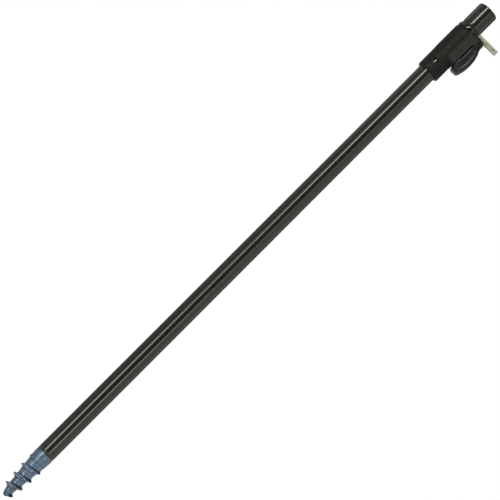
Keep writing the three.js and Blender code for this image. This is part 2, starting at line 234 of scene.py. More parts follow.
# --------------------------------------------------------- material helpers
class Nodes:
    """Short way to write a node material."""

    def __init__(self, name):
        self.mat = bpy.data.materials.new(name)
        self.mat.use_nodes = True
        self.tree = self.mat.node_tree
        self.tree.nodes.clear()
        self.out = self.tree.nodes.new("ShaderNodeOutputMaterial")
        self.bsdf = self.tree.nodes.new("ShaderNodeBsdfPrincipled")
        self.link(self.bsdf.outputs[0], self.out.inputs["Surface"])
        self.coord = self.tree.nodes.new("ShaderNodeTexCoord")

    def link(self, a, b):
        self.tree.links.new(a, b)

    def node(self, kind, **props):
        n = self.tree.nodes.new(kind)
        for k, v in props.items():
            setattr(n, k, v)
        return n

    def mapping(self, scale, rotation=(0, 0, 0), location=(0, 0, 0)):
        n = self.node("ShaderNodeMapping")
        n.inputs["Scale"].default_value = scale
        n.inputs["Rotation"].default_value = rotation
        n.inputs["Location"].default_value = location
        self.link(self.coord.outputs["Object"], n.inputs["Vector"])
        return n.outputs[0]

    def noise(self, vector, scale, detail=3.0, roughness=0.55):
        n = self.node("ShaderNodeTexNoise")
        n.inputs["Scale"].default_value = scale
        n.inputs["Detail"].default_value = detail
        n.inputs["Roughness"].default_value = roughness
        self.link(vector, n.inputs["Vector"])
        return n.outputs["Fac"]

    def ramp(self, value, stops):
        n = self.node("ShaderNodeValToRGB")
        e = n.color_ramp.elements
        while len(e) > 1:
            e.remove(e[-1])
        first = True
        for pos, col in stops:
            c = (col, col, col, 1.0) if not isinstance(col, tuple) else (*col, 1.0)
            if first:
                e[0].position = pos
                e[0].color = c
                first = False
            else:
                x = e.new(pos)
                x.color = c
        self.link(value, n.inputs["Fac"])
        return n.outputs["Color"]

    def math(self, op, a, b=None, clamp=False):
        n = self.node("ShaderNodeMath", operation=op, use_clamp=clamp)
        for i, v in enumerate((a, b)):
            if v is None:
                continue
            if isinstance(v, (int, float)):
                n.inputs[i].default_value = v
            else:
                self.link(v, n.inputs[i])
        return n.outputs[0]

    def mix(self, fac, a, b):
        n = self.node("ShaderNodeMix", data_type="RGBA")
        for key, v in (("Factor", fac), ("A", a), ("B", b)):
            socket = [s for s in n.inputs if s.name == key and s.type in (("VALUE",) if key == "Factor" else ("RGBA",))][0]
            if isinstance(v, (int, float)):
                socket.default_value = v
            elif isinstance(v, tuple):
                socket.default_value = (*v, 1.0)
            else:
                self.link(v, socket)
        return [s for s in n.outputs if s.type == "RGBA"][0]

    def bump(self, height, strength, distance, normal=None):
        n = self.node("ShaderNodeBump")
        n.inputs["Strength"].default_value = strength
        n.inputs["Distance"].default_value = distance
        self.link(height, n.inputs["Height"])
        if normal is not None:
            self.link(normal, n.inputs["Normal"])
        self.link(n.outputs["Normal"], self.bsdf.inputs["Normal"])
        return n.outputs["Normal"]

    def set(self, **values):
        for k, v in values.items():
            self.bsdf.inputs[k.replace("_", " ")].default_value = v


def dress(obj, material, body, node=None, also=()):
    obj.data.materials.clear()
    obj.data.materials.append(material)
    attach(obj, body)
    if node:
        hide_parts(node, *also)
    return obj


def paint_node(node, material):
    mesh = frame["nodes"][node].data
    mesh.materials.clear()
    mesh.materials.append(material)


# --------------------------------------------------------------- materials
def anodised(name, dark, light, lines_scale=(420, 420, 3.0), rough=0.09):
    """Black anodised aluminium: drawing lines along the tube, faint rub marks."""
    m = Nodes(name)
    lines = m.noise(m.mapping(lines_scale), 1.0, 4.0, 0.6)
    fine = m.noise(m.mapping((2600, 2600, 26)), 1.0, 2.0, 0.5)
    patch = m.noise(m.mapping((28, 28, 9)), 1.0, 3.0, 0.55)
    rub = m.noise(m.mapping((150, 150, 60)), 1.0, 5.0, 0.7)
    speck = m.noise(m.mapping((700, 700, 260)), 1.0, 3.0, 0.7)
    colour = m.ramp(patch, [(0.3, dark), (0.7, light)])
    streak = m.ramp(lines, [(0.45, 0.0), (0.75, 1.0)])
    colour = m.mix(m.math("MULTIPLY", streak, 0.30), colour, tuple(c * 2.4 for c in light))
    colour = m.mix(m.math("MULTIPLY", m.ramp(speck, [(0.56, 0.0), (0.74, 1.0)]), 0.55), colour, tuple(c * 2.8 for c in light))
    m.link(colour, m.bsdf.inputs["Base Color"])
    wear = m.math("ADD", m.math("MULTIPLY", lines, 0.09), m.math("MULTIPLY", rub, 0.08))
    m.link(m.math("ADD", wear, rough), m.bsdf.inputs["Roughness"])
    m.set(Metallic=0.0, IOR=1.5)
    b = m.bump(lines, 0.10, 0.00004)
    b = m.bump(speck, 0.5, 0.00002, b)
    m.bump(fine, 0.06, 0.00002, b)
    return m.mat


def turned_anodised(name, dark, light):
    """Black anodised turned part: fine tool lines round it."""
    m = Nodes(name)
    lines = m.noise(m.mapping((2.0, 2.0, 2600)), 1.0, 3.0, 0.6)
    patch = m.noise(m.mapping((60, 60, 60)), 1.0, 4.0, 0.6)
    speck = m.noise(m.mapping((600, 600, 600)), 1.0, 3.0, 0.7)
    colour = m.ramp(patch, [(0.3, dark), (0.72, light)])
    colour = m.mix(m.math("MULTIPLY", m.ramp(speck, [(0.6, 0.0), (0.78, 1.0)]), 0.35), colour, tuple(c * 3.0 for c in light))
    m.link(colour, m.bsdf.inputs["Base Color"])
    m.link(m.math("ADD", m.math("MULTIPLY", lines, 0.10), m.math("ADD", m.math("MULTIPLY", patch, 0.08), 0.10)), m.bsdf.inputs["Roughness"])
    m.set(Metallic=0.0, IOR=1.5)
    m.bump(lines, 0.12, 0.00003)
    return m.mat


def moulded(name, dark, light, rough=0.42, grain=0.00005, texture=2600.0, level=0.5, lit_panel=None):
    """Black moulded plastic: fine spark-eroded grain, faint flow marks, paler
    edges (partly edge wear, partly a painted highlight along sharp ridges).
    An optional area, given as (colour, low corner, high corner, softness), is
    painted lighter as a painted sheen, in place of the light a flat face catches."""
    m = Nodes(name)
    grain_n = m.noise(m.mapping((texture, texture, texture)), 1.0, 2.0, 0.6)
    flow = m.noise(m.mapping((90, 90, 40)), 1.0, 4.0, 0.6)
    scuff = m.noise(m.mapping((420, 420, 160), (0.4, 0.3, 0.0)), 1.0, 5.0, 0.75)
    base = m.ramp(flow, [(0.3, dark), (0.75, light)])
    # painted sheen: a box of the moulding painted lighter, in place of the light its flat face catches
    if lit_panel is not None:
        colour, lo, hi, soft = lit_panel
        split = m.node("ShaderNodeSeparateXYZ")
        m.link(m.coord.outputs["Object"], split.inputs[0])
        mask = None
        for k in range(3):
            for edge, sign in ((lo[k], 1.0), (hi[k], -1.0)):
                if edge is None:
                    continue
                r = m.node("ShaderNodeMapRange", interpolation_type="SMOOTHSTEP")
                m.link(split.outputs[k], r.inputs["Value"])
                r.inputs["From Min"].default_value = edge - soft if sign > 0 else edge + soft
                r.inputs["From Max"].default_value = edge + soft if sign > 0 else edge - soft
                mask = r.outputs["Result"] if mask is None else m.math("MULTIPLY", mask, r.outputs["Result"])
        base = m.mix(mask, base, colour)
    base = m.mix(m.math("MULTIPLY", m.ramp(scuff, [(0.62, 0.0), (0.82, 1.0)]), 0.22), base, tuple(c * 3.2 + 0.004 for c in light))
    geo = m.node("ShaderNodeNewGeometry")
    # paler sharp edges: partly edge wear, partly a painted highlight along ridges
    edge = m.ramp(geo.outputs["Pointiness"], [(0.53, 0.0), (0.62, 1.0)])
    base = m.mix(m.math("MULTIPLY", edge, 0.35), base, tuple(c * 3.0 + 0.004 for c in light))
    m.link(base, m.bsdf.inputs["Base Color"])
    m.link(m.math("ADD", m.math("MULTIPLY", flow, 0.14), m.math("ADD", m.math("MULTIPLY", grain_n, 0.06), rough - 0.1)), m.bsdf.inputs["Roughness"])
    m.set(Metallic=0.0, IOR=1.48, Specular_IOR_Level=level)
    m.bump(grain_n, 0.22, grain)
    return m.mat


def cast_blue(name):
    """Cast alloy with a slate-blue passivated finish, with painted shade on the
    upper flank and in the roots of the helical fin, and a painted highlight on its lower flank."""
    m = Nodes(name)
    grain = m.noise(m.mapping((900, 900, 900)), 1.0, 4.0, 0.65)
    cloud = m.noise(m.mapping((170, 170, 120)), 1.0, 4.0, 0.6)
    mottle = m.noise(m.mapping((480, 480, 380)), 1.0, 3.0, 0.6)
    tint = m.noise(m.mapping((60, 60, 60)), 1.0, 2.0, 0.5)
    base = m.ramp(cloud, [(0.28, (0.090, 0.134, 0.198)), (0.5, (0.127, 0.182, 0.264)), (0.75, (0.186, 0.244, 0.336))])
    base = m.mix(m.math("MULTIPLY", m.ramp(tint, [(0.4, 0.0), (0.6, 1.0)]), 0.5), base, (0.108, 0.174, 0.224))
    base = m.mix(m.math("MULTIPLY", m.ramp(mottle, [(0.5, 0.0), (0.72, 1.0)]), 0.55), base, (0.064, 0.096, 0.165))
    geo = m.node("ShaderNodeNewGeometry")
    edge = m.ramp(geo.outputs["Pointiness"], [(0.54, 0.0), (0.66, 1.0)])
    base = m.mix(m.math("MULTIPLY", edge, 0.40), base, (0.38, 0.42, 0.46))

    def step(value, lo, hi):
        r = m.node("ShaderNodeMapRange", interpolation_type="SMOOTHSTEP")
        m.link(value, r.inputs["Value"])
        r.inputs["From Min"].default_value = lo
        r.inputs["From Max"].default_value = hi
        return r.outputs["Result"]

    def window(value, a, b, c, d):
        return m.math("MULTIPLY", step(value, a, b), m.math("SUBTRACT", 1.0, step(value, c, d)))

    # height above the middle of the nearest turn of the fin, in mm
    split = m.node("ShaderNodeSeparateXYZ")
    m.link(m.coord.outputs["Object"], split.inputs[0])
    x, y, z = split.outputs
    turn = m.math("MULTIPLY", m.math("ARCTAN2", y, x), 0.5 / math.pi)
    radius = m.math("SQRT", m.math("ADD", m.math("MULTIPLY", x, x), m.math("MULTIPLY", y, y)))
    cos_a = m.math("DIVIDE", x, m.math("MAXIMUM", radius, 0.0005))
    climb = m.math("SUBTRACT", m.math("MULTIPLY", m.math("ADD", z, 0.01585), 1000.0 / 11.15), turn)
    u = m.math("MULTIPLY", m.math("SUBTRACT", m.math("FRACT", m.math("ADD", climb, 0.5)), 0.5), 11.15)
    u = m.math("ADD", u, m.math("MULTIPLY", m.math("ADD", cos_a, 1.0), 0.6))
    z_mm = m.math("MULTIPLY", z, 1000.0)
    there = m.math("MULTIPLY", m.math("SUBTRACT", 1.0, step(z_mm, -10.5, -8.0)), step(z_mm, -54.0, -50.0))
    rough_edge = m.math("MULTIPLY", m.math("SUBTRACT", mottle, 0.5), 1.6)
    u = m.math("ADD", u, rough_edge)
    # painted shade on the upper flank of the fin, stronger on the right side
    upper = m.math("MULTIPLY", window(u, -0.05, 0.65, 1.7, 2.6), m.math("ADD", 0.54, m.math("MULTIPLY", cos_a, 0.40)))
    # painted highlight: columns round the point where the two strip lights glint, with a weaker band between them
    glint_columns = m.math("ADD", window(cos_a, -0.58, -0.44, -0.22, -0.06), m.math("MULTIPLY", window(cos_a, 0.04, 0.16, 0.30, 0.46), 0.7))
    glint_columns = m.math("ADD", glint_columns, m.math("MULTIPLY", window(cos_a, -0.95, -0.6, 0.15, 0.7), 0.35), clamp=True)
    # painted highlight on the lower flank of the fin in those columns, left off the top turn
    pale = m.math("MULTIPLY", window(u, -2.3, -1.7, -0.5, 0.15), m.math("MULTIPLY", glint_columns, m.math("SUBTRACT", 1.0, step(z_mm, -17.5, -12.5))))
    # painted shade: a thin dark line in the root below the fin, stronger on the left
    lower = m.math("MULTIPLY", window(u, -4.0, -3.4, -2.9, -2.3), m.math("SUBTRACT", 0.55, m.math("MULTIPLY", cos_a, 0.25)))
    base = m.mix(m.math("MULTIPLY", m.math("MULTIPLY", pale, there), 0.85), base, (0.46, 0.58, 0.72))
    # painted shade: the crest of the fin darkened where it turns to the left side
    crest = m.math("MULTIPLY", window(u, -1.8, -1.0, 0.9, 1.7), step(m.math("MULTIPLY", cos_a, -1.0), 0.60, 0.92))
    base = m.mix(m.math("MULTIPLY", m.math("MULTIPLY", crest, there), 0.62), base, (0.050, 0.046, 0.046))
    # darker towards the tip
    base = m.mix(m.math("MULTIPLY", m.math("SUBTRACT", 1.0, step(z_mm, -42.0, -20.0)), 0.28), base, (0.052, 0.062, 0.072))
    base = m.mix(m.math("MULTIPLY", upper, there), base, (0.012, 0.022, 0.040))
    base = m.mix(m.math("MULTIPLY", lower, there), base, (0.016, 0.024, 0.040))
    m.link(base, m.bsdf.inputs["Base Color"])
    rough = m.math("ADD", m.math("MULTIPLY", grain, 0.20), m.math("ADD", m.math("MULTIPLY", mottle, 0.14), 0.20))
    m.link(rough, m.bsdf.inputs["Roughness"])
    m.set(Metallic=0.92)
    b = m.bump(mottle, 0.30, 0.00016)
    m.bump(grain, 0.22, 0.00006, b)
    return m.mat


def steel(name, colour=(0.56, 0.54, 0.49), rough=0.3, scale=(5.0, 1800, 1800)):
    m = Nodes(name)
    lines = m.noise(m.mapping(scale), 1.0, 3.0, 0.6)
    cloud = m.noise(m.mapping((260, 260, 260)), 1.0, 4.0, 0.6)
    spot = m.noise(m.mapping((900, 900, 900)), 1.0, 4.0, 0.7)
    dark = tuple(c * 0.72 for c in colour)
    base = m.mix(m.ramp(cloud, [(0.35, 0.0), (0.7, 1.0)]), colour, dark)
    base = m.mix(m.math("MULTIPLY", m.ramp(spot, [(0.6, 0.0), (0.75, 1.0)]), 0.5), base, tuple(c * 0.5 for c in colour))
    m.link(base, m.bsdf.inputs["Base Color"])
    m.link(m.math("ADD", m.math("MULTIPLY", lines, 0.16), m.math("ADD", m.math("MULTIPLY", cloud, 0.10), rough - 0.12)), m.bsdf.inputs["Roughness"])
    m.set(Metallic=1.0)
    m.bump(lines, 0.12, 0.00003)
    return m.mat


def rubber(name, colour=(0.012, 0.012, 0.012), rough=0.75):
    m = Nodes(name)
    n = m.noise(m.mapping((1400, 1400, 1400)), 1.0, 3.0, 0.6)
    m.link(m.mix(n, colour, tuple(c * 2.0 for c in colour)), m.bsdf.inputs["Base Color"])
    m.link(m.math("ADD", m.math("MULTIPLY", n, 0.15), rough - 0.08), m.bsdf.inputs["Roughness"])
    m.bump(n, 0.2, 0.00004)
    return m.mat


MAT_TUBE = anodised("anodised_tube", (0.0072, 0.0071, 0.0048), (0.0106, 0.0098, 0.0068))
MAT_INNER = anodised("anodised_inner", (0.0085, 0.0080, 0.0068), (0.0122, 0.0110, 0.0094), rough=0.09)
MAT_HEAD = turned_anodised("anodised_head", (0.0085, 0.0080, 0.0062), (0.0125, 0.0112, 0.0092))
# the lighter box on the collar is the flat front of the clamp boss, painted lighter as a painted sheen
MAT_COLLAR = moulded("moulded_collar", (0.0056, 0.0055, 0.0050), (0.0078, 0.0076, 0.0070), rough=0.54, level=0.18,
                     lit_panel=((0.0190, 0.0178, 0.0172), (0.0028, None, 0.5458), (0.0137, None, 0.5795), 0.0007))
MAT_CAP = moulded("gloss_cap", (0.0045, 0.0042, 0.0040), (0.0075, 0.0070, 0.0066), 0.14, 0.00002, level=0.5)
MAT_LEVER = moulded("moulded_lever", (0.0085, 0.0085, 0.0095), (0.0125, 0.0125, 0.0140), 0.32, level=0.28)
MAT_POINT = cast_blue("cast_point")
MAT_BAR = steel("bar_steel", (0.47, 0.475, 0.385), 0.36)
MAT_PIN = steel("pin_steel", (0.045, 0.045, 0.045), 0.45, (1800, 5.0, 1800))
MAT_RUBBER = rubber("seal_rubber")
MAT_PAD = rubber("brake_pad", (0.05, 0.045, 0.038), 0.7)
MAT_GUIDE = moulded("guide_plastic", (0.012, 0.012, 0.012), (0.018, 0.018, 0.018), 0.4)

# -------------------------------------------------------------- outer tube
profile = [(8.5, 0.3), (8.7, 0.0), (9.28, 0.0)] + [(9.43, 0.06), (9.5, 0.22)]
profile += stations(9.5, 4.0, 552.0, 18.0) + [(9.5, 555.7), (9.2, 556.0), (8.8, 556.0), (8.5, 555.7)]
tube = turned("tube_shell", profile, 144)
dress(tube, MAT_TUBE, "stick", "outer_tube")

# ------------------------------------------------------------- screw point
CORE = [(-54.5, 0.0), (-54.25, 1.45), (-53.0, 2.75), (-50.4, 3.75), (-46.6, 4.45), (-41.0, 5.1), (-35.4, 5.7),
        (-29.8, 6.35), (-24.0, 7.1), (-18.4, 7.85), (-13.2, 8.5), (-8.4, 9.1), (-4.6, 9.45), (-2.6, 9.5), (-0.06, 9.5)]
CREST = [(-54.0, 4.4), (-52.0, 6.2), (-49.4, 7.35), (-44.0, 8.05), (-38.4, 8.75), (-32.8, 9.2),
         (-27.1, 9.7), (-21.5, 9.9), (-16.0, 9.98), (-10.4, 9.9), (-9.0, 9.6)]
PITCH = 11.15
A_FROM, A_TO = -3.3 * 2 * math.pi, 1.4 * math.pi


def table(pairs, v):
    xs = [p[0] for p in pairs]
    ys = [p[1] for p in pairs]
    return float(np.interp(v, xs, ys))


def screw_radius(a, z):
    """Surface radius in mm at azimuth a and height z: the tapered core and,
    where the helical fin passes, the fin with fillets at its root."""
    core = table(CORE, z)
    best = 0.0
    k0 = round((z + 16.0) / PITCH - a / (2 * math.pi))
    for k in (k0 - 1, k0, k0 + 1):
        total = a + 2 * math.pi * k
        zc = -16.0 + PITCH * total / (2 * math.pi) + 0.15 - 0.6 * (1.0 + math.cos(a))
        fade = min(1.0, max(0.0, (A_TO - total) / (0.55 * math.pi))) * min(1.0, max(0.0, (total - A_FROM) / (0.4 * math.pi)))
        if fade <= 0:
            continue
        fade = fade * fade * (3 - 2 * fade)
        crest = table(CREST, zc)
        height = max(0.0, (crest - table(CORE, zc))) * fade
        u = z - zc
        w = (1.02 if u < 0 else 1.12) * (1.0 + 0.26 * math.cos(a))
        best = max(best, height / (1.0 + (abs(u) / w) ** 3.6))
    return core + best


def screw_point():
    segs = 144
    zs = list(np.arange(-54.3, -0.4, 0.22)) + [-0.3, -0.1]
    verts, faces = [(0, 0, -54.5 * MM)], []
    for z in zs:
        for i in range(segs):
            a = 2 * math.pi * i / segs
            r = screw_radius(a, z)
            if z > -0.25:
                r = 9.42
            verts.append((r * math.cos(a) * MM, r * math.sin(a) * MM, z * MM))
    n = len(zs)
    for i in range(segs):
        faces.append((0, 1 + (i + 1) % segs, 1 + i))
    for k in range(n - 1):
        for i in range(segs):
            j = (i + 1) % segs
            faces.append((1 + k * segs + i, 1 + k * segs + j, 1 + (k + 1) * segs + j, 1 + (k + 1) * segs + i))
    for r, z in ((8.46, -0.06), (8.46, 31.0), (7.46, 32.0)):
        for i in range(segs):
            a = 2 * math.pi * i / segs
            verts.append((r * math.cos(a) * MM, r * math.sin(a) * MM, z * MM))
    for k in range(n - 1, n + 2):
        for i in range(segs):
            j = (i + 1) % segs
            faces.append((1 + k * segs + i, 1 + k * segs + j, 1 + (k + 1) * segs + j, 1 + (k + 1) * segs + i))
    faces.append(tuple(1 + (n + 2) * segs + i for i in range(segs)))
    return mesh_object("auger_point", verts, faces, math.radians(60))


dress(screw_point(), MAT_POINT, "stick", "screw_point")

# -------------------------------------------------------------------- head
HEAD_R, HEAD_BOTTOM, HEAD_TOP, HEAD_EDGE = 10.9, 585.05, 610.45, 1.6
BAR_Z = 584.8
THREAD_MAJOR, THREAD_MINOR, THREAD_P = 4.76, 4.02, 1.27


def thread_radius(a, z):
    """Wall of the 3/8 in rod-rest socket: a right-hand 20 per inch thread that
    runs out into the chamfer above and the drill cone below."""
    u = ((z / THREAD_P - a / (2 * math.pi)) % 1.0)
    wave = 1.0 - abs(2.0 * u - 1.0)
    wave = min(1.0, max(0.0, wave * 1.35 - 0.17))
    fade = min(1.0, max(0.0, (HEAD_TOP - 0.5 - z) / 0.6))
    return THREAD_MINOR + (THREAD_MAJOR - THREAD_MINOR) * (wave * fade + (1.0 - fade))


def head_mesh():
    segs = 144
    rows = []
    outside = [(6.1, 562.0), (6.91, 562.8)] + stations(6.91, 566.0, 582.0, 4.0) + [(6.91, HEAD_BOTTOM), (8.2, HEAD_BOTTOM),
               (8.35, 584.82), (10.0, 584.82), (10.3, 584.87), (10.6, 585.02), (10.8, 585.3), (HEAD_R, 585.75)]
    outside += stations(HEAD_R, 587.5, 608.0, 2.5)
    outside += arc(HEAD_R - HEAD_EDGE, HEAD_TOP - HEAD_EDGE, HEAD_EDGE, 0, 90, 9)
    outside += [(8.0, HEAD_TOP), (6.6, HEAD_TOP), (5.35, HEAD_TOP), (5.2, HEAD_TOP - 0.06)]
    for r, z in outside:
        rows.append([(r, z)] * segs)
    steps = 116
    z0, z1 = HEAD_TOP - 0.5, HEAD_TOP - 15.2
    for k in range(steps + 1):
        z = z0 + (z1 - z0) * k / steps
        rows.append([(thread_radius(2 * math.pi * i / segs, z), z) for i in range(segs)])
    verts, faces = [(0.0, 0.0, 562.0 * MM)], []
    for row in rows:
        for i, (r, z) in enumerate(row):
            a = 2 * math.pi * i / segs
            verts.append((r * math.cos(a) * MM, r * math.sin(a) * MM, z * MM))
    verts.append((0.0, 0.0, (z1 - 2.0) * MM))
    n = len(rows)
    for i in range(segs):
        j = (i + 1) % segs
        faces.append((0, 1 + j, 1 + i))
        for k in range(n - 1):
            faces.append((1 + k * segs + i, 1 + k * segs + j, 1 + (k + 1) * segs + j, 1 + (k + 1) * segs + i))
        faces.append((1 + (n - 1) * segs + i, 1 + (n - 1) * segs + j, len(verts) - 1))
    return mesh_object("head_body", verts, faces, math.radians(40))


head = head_mesh()
boolean(head, rod_x("bar_cut", 3.06, -14, 14, BAR_Z))
boolean(head, rod_x("ring_cut", 4.3, -0.85, 0.85, BAR_Z))
finish_shading(head.data)
dress(head, MAT_HEAD, "inner_section", "head")

# ------------------------------------------------------------- inner tube
prof = [(6.95, 105.9), (7.95, 105.9)] + stations(7.95, 108.0, 580.0, 16.0) + [(7.95, 584.85), (7.82, 584.98), (6.95, 584.98)]
inner = turned("inner_tube_shell", prof, 128)
boolean(inner, rod_x("bar_cut2", 3.06, -14, 14, BAR_Z))
finish_shading(inner.data)
dress(inner, MAT_INNER, "inner_section", "inner_tube")

# --------------------------------------------------------------- tommy bar
bar = rod_x("tommy_bar_rod", 3.0, -9.4, 35.2, BAR_Z, segments=96, chamfer=0.35)
dress(bar, MAT_BAR, "tommy_bar", "tommy_bar")

# ------------------------------------------------------ collar, cap, lever
def snap_bores(obj, bores):
    """Put the walls of the round bores back on their true radius after the
    remesh; bores are (low z, high z, largest radius to catch, true radius)."""
    for v in obj.data.vertices:
        r = math.hypot(v.co.x, v.co.y) / MM
        z = v.co.z / MM
        for z0, z1, catch, true in bores:
            if z0 <= z <= z1 and r < catch:
                k = true / r
                v.co.x *= k
                v.co.y *= k
                break


collar = remeshed(cad_copy("collar_body", "collar_shell"), 0.26, 5, 0.5)
snap_bores(collar, [(522.0, 556.2, 9.75, 9.54), (556.2, 581.0, 8.25, 8.06)])
finish_shading(collar.data, None)
dress(collar, MAT_COLLAR, "stick", "collar_body")

cap_profile = [(8.05, 581.3), (9.74, 581.3), (9.75, 579.25), (9.85, 579.03), (11.0, 579.02), (11.08, 579.1)]
cap_profile += arc(11.3, 579.6, 0.45, -60, 0, 5) + [(11.78, 579.9), (11.84, 580.6), (11.85, 581.4)]
cap_profile += [(11.82, 581.95), (11.74, 582.45), (11.6, 582.95), (11.4, 583.45), (11.13, 583.9), (10.8, 584.27), (10.4, 584.53),
                (9.95, 584.69), (9.5, 584.74), (8.3, 584.74), (8.1, 584.64), (8.05, 584.5)]
cap = turned("collar_cap_ring", cap_profile, 192, sharp=math.radians(50))
boolean(cap, rod_x("slot_cut", 3.3, -14, 14, BAR_Z, segments=128))
bev = cap.modifiers.new("bevel", "BEVEL")
bev.width = 0.12 * MM
bev.segments = 2
bev.limit_method = "ANGLE"
bev.angle_limit = math.radians(50)
apply_modifiers(cap)
finish_shading(cap.data, math.radians(50))
dress(cap, MAT_CAP, "stick", "collar_cap")

LEVER_OUT = [(540.4, 18.8), (540.6, 20.2), (541.4, 21.7), (543.0, 22.8), (545.2, 23.6), (548.4, 24.45), (552.0, 25.15), (555.5, 25.4),
             (558.2, 25.35), (560.9, 25.05), (564.2, 24.55), (566.6, 23.95), (569.0, 23.1), (571.8, 21.7), (576.0, 20.8)]
LEVER_IN = [(540.4, 18.6), (540.7, 17.1), (541.4, 15.9), (542.4, 14.9), (543.6, 14.0), (544.9, 13.35), (546.1, 13.1),
            (550.0, 13.1), (557.0, 13.9), (576.0, 13.9)]
# how far the side face stands out from its CAD plane, from the inner edge of
# the lever (by distance from it) and then towards the outer edge (likewise)
SIDE_FROM_IN = [(0.0, -0.50), (1.0, -0.30), (2.9, -0.15), (3.5, -0.16), (4.6, -0.30), (7.2, -0.62)]
SIDE_FROM_OUT = [(0.0, -3.8), (0.35, -2.5), (0.8, -1.65), (1.3, -1.02), (1.9, -0.55), (2.5, -0.30), (3.1, -0.23), (3.5, -0.28), (4.8, -0.66), (6.2, -0.62)]
TOE = [(540.3, 0.18), (540.7, 0.36), (541.3, 0.53), (542.1, 0.68), (543.1, 0.80), (544.4, 0.90), (546.0, 0.97), (548.0, 1.0)]
HANDLE_HALF = 10.9
PIN_X, PIN_Z = 16.6, 575.3


def smooth(v, lo, hi):
    t = min(1.0, max(0.0, (v - lo) / (hi - lo)))
    return t * t * (3 - 2 * t)


def curve(pairs, v):
    """Like table, but along a smooth cubic through the points."""
    xs = np.array([p[0] for p in pairs])
    ys = np.array([p[1] for p in pairs])
    slope = np.gradient(ys, xs)
    i = int(min(len(xs) - 2, max(0, np.searchsorted(xs, v) - 1)))
    h = xs[i + 1] - xs[i]
    t = min(1.0, max(0.0, (v - xs[i]) / h))
    return float((2 * t ** 3 - 3 * t ** 2 + 1) * ys[i] + (t ** 3 - 2 * t ** 2 + t) * h * slope[i]
                 + (3 * t ** 2 - 2 * t ** 3) * ys[i + 1] + (t ** 3 - t ** 2) * h * slope[i + 1])


def shape_lever(obj):
    """Give the lever's side faces their two long ridges, round its back edges
    and its toe, and make its back one smooth curve."""
    for v in obj.data.vertices:
        x, y, z = v.co.x / MM, v.co.y / MM, v.co.z / MM
        w = abs(y)
        r = math.hypot(x - PIN_X, z - PIN_Z)
        x_in, x_out = table(LEVER_IN, z), table(LEVER_OUT, z)
        a, b = max(0.0, x - x_in), max(0.0, x_out - x)
        near, far = table(SIDE_FROM_IN, a), table(SIDE_FROM_OUT, b)
        t = smooth(a / max(0.1, a + b), 0.46, 0.60)
        rise = near * (1 - t) + far * t
        low = smooth(z, 543.0, 549.0)
        toe = (0.20 * min(0.0, x - 18.6) - 0.16 * max(0.0, x - 20.0)) * (1.0 - low)
        flat = 0.35 + 0.65 * low
        rise = rise * (flat + (1.0 - flat) * smooth(-rise, 0.5, 1.6)) + toe
        # a small step where the inner ridge ends above the toe
        rise -= 0.36 * math.exp(-((z - 547.2) / 0.85) ** 2) * smooth(x, 15.0, 16.8) * (1 - smooth(x, 18.2, 20.8))
        # flush with the ears at its shoulders
        rise += 0.62 * (1.0 - smooth(r, 5.2, 8.6)) * smooth(b, 0.6, 2.0)
        if 543.5 < z < 571.5 and b < 4.0:
            v.co.x += (curve(LEVER_OUT, z) - x_out) * (1.0 - smooth(b, 1.0, 4.0)) * MM
        part = smooth(w, 3.0, HANDLE_HALF) * (1.0 - smooth(z, 566.5, 569.5) * (1.0 - smooth(w, 8.5, 10.3)))
        v.co.y = math.copysign((w + rise * part) * table(TOE, z), y) * MM


def lever_pockets(obj):
    """Two moulded pockets on the inner side, left and right of the rib."""
    outline = [(12.0, 548.6), (19.0, 548.6), (20.8, 550.4), (21.5, 554.0), (21.6, 558.0), (21.1, 562.0), (20.0, 565.8), (12.0, 565.8)]
    for y0, y1 in ((-8.7, -3.0), (3.0, 8.7)):
        n = len(outline)
        verts = [(x * MM, y0 * MM, z * MM) for x, z in outline] + [(x * MM, y1 * MM, z * MM) for x, z in outline]
        faces = [tuple(range(n)), tuple(reversed(range(n, 2 * n)))]
        faces += [(i, n + i, n + (i + 1) % n, (i + 1) % n) for i in range(n)]
        boolean(obj, mesh_object("pocket", verts, faces, None))


def lever_shoulders(obj):
    """Bring the handle's shoulders up close round the ears."""
    outline = []
    for r, a0, a1 in ((5.04, 238.0, 315.2), (5.8, 320.8, 242.4)):
        for i in range(15):
            a = math.radians(a0 + (a1 - a0) * i / 14)
            outline.append((PIN_X + r * math.cos(a), PIN_Z + r * math.sin(a)))
    n = len(outline)
    for y0, y1 in ((-10.9, -8.62), (8.62, 10.9)):
        verts = [(x * MM, y0 * MM, z * MM) for x, z in outline] + [(x * MM, y1 * MM, z * MM) for x, z in outline]
        faces = [tuple(range(n)), tuple(reversed(range(n, 2 * n)))]
        faces += [(i, n + i, n + (i + 1) % n, (i + 1) % n) for i in range(n)]
        boolean(obj, mesh_object("shoulder", verts, faces, None), "UNION")


lever_cad = cad_copy("cam_lever", "lever_handle")
lever_pockets(lever_cad)
lever_shoulders(lever_cad)
lever = remeshed(lever_cad, 0.20, 10, 0.5)
shape_lever(lever)
soften = lever.modifiers.new("soften", "SMOOTH")
soften.factor = 0.5
soften.iterations = 5
apply_modifiers(lever)
finish_shading(lever.data, None)
dress(lever, MAT_LEVER, "lever", "cam_lever")


# -------------------------------------------------- pin, pad and hidden rings
def pivot_pin():
    """Plain steel pin with lightly domed, peened ends."""
    segs = 64
    prof = [(0.0, -10.9), (0.7, -10.86), (1.2, -10.74), (1.44, -10.5), (1.5, -10.2)]
    prof += [(1.5, -6.0), (1.5, 0.0), (1.5, 6.0), (1.5, 10.2), (1.44, 10.5), (1.2, 10.74), (0.7, 10.86), (0.0, 10.9)]
    obj = turned("pivot_pin_body", prof, segs, closed=False)
    for v in obj.data.vertices:
        x, y, z = v.co
        v.co = (x + 16.6 * MM, z, y + 575.3 * MM)
    bm = bmesh.new()
    bm.from_mesh(obj.data)
    bmesh.ops.recalc_face_normals(bm, faces=bm.faces)
    bm.to_mesh(obj.data)
    bm.free()
    return obj


